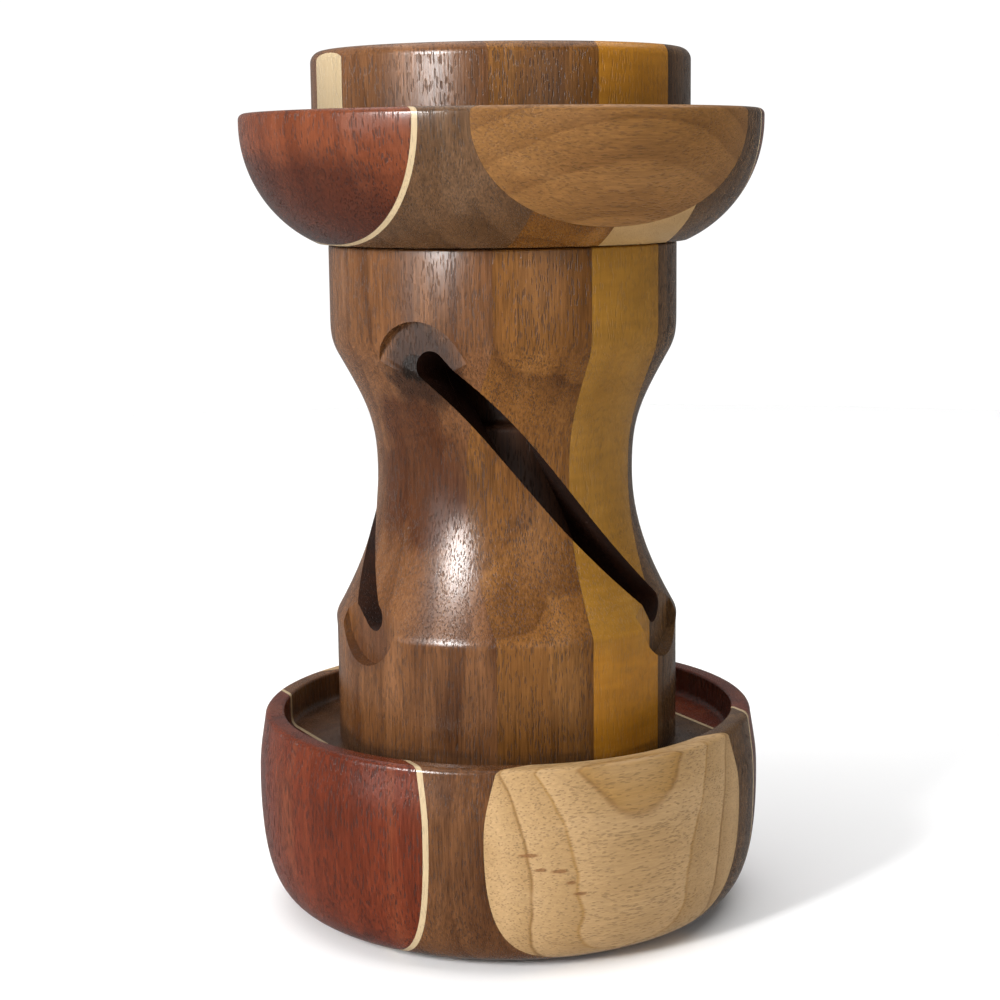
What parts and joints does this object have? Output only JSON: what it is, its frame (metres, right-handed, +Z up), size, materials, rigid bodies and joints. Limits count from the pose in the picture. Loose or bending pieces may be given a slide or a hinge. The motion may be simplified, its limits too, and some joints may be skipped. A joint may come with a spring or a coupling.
{
  "type": "twist nutcracker",
  "caption": "Turned wooden nutcracker: a dished twist head slides on helical cam slots down a waisted post and presses a nut on an anvil.",
  "frame": {"origin": "on the table, on the turning axis, at the centre of the base", "axes": "+Z up along the turning axis, +Y out through the nut window at the back"},
  "size_m": [0.108, 0.108, 0.1796],
  "materials": {
    "walnut": "satin lacquer",
    "maple": "satin lacquer",
    "padauk": "satin lacquer",
    "cherry": "satin lacquer",
    "ash": "satin lacquer",
    "veneer": "satin lacquer",
    "ram_wood": "oiled",
    "press_wood": "plain end grain",
    "steel": "ground"
  },
  "bodies": {
    "stand": {"anvil_disc": "press_wood", "base_ash_front": "ash", "base_ash_rear": "ash", "base_padauk_left": "padauk", "base_padauk_right": "padauk", "base_veneer_left": "veneer", "base_veneer_right": "veneer", "stand_maple": "maple", "stand_walnut_centre": "walnut", "stand_walnut_left": "walnut", "stand_walnut_right": "walnut"},
    "press_pad": {"press_pad": "press_wood"},
    "head": {"cam_pin_front": "steel", "cam_pin_left": "steel", "cap_maple": "maple", "cap_veneer_left": "veneer", "cap_veneer_right": "veneer", "cap_walnut_centre": "walnut", "cap_walnut_left": "walnut", "cap_walnut_right": "walnut", "dish_cherry_front": "cherry", "dish_cherry_rear": "cherry", "dish_maple": "maple", "dish_padauk_left": "padauk", "dish_padauk_right": "padauk", "dish_veneer_left": "veneer", "dish_veneer_right": "veneer", "dish_walnut_centre": "walnut", "dish_walnut_edge": "walnut", "dish_walnut_left": "walnut", "dish_walnut_right": "walnut", "pad_screw": "steel", "ram": "ram_wood"}
  },
  "joints": [
    {"name": "pad_slide", "type": "slide", "parent": "stand", "child": "press_pad", "axis": [0, 0, 1], "range_m": [0, 0.052]},
    {"name": "head_turn", "type": "hinge", "parent": "press_pad", "child": "head", "pos_m": [0, 0, 0], "axis": [0, 0, -1], "range_deg": [0, 91]}
  ],
  "couplings": [
    {"joint": "pad_slide", "follows": "head_turn", "m_per_rad": 0.032741}
  ]
}
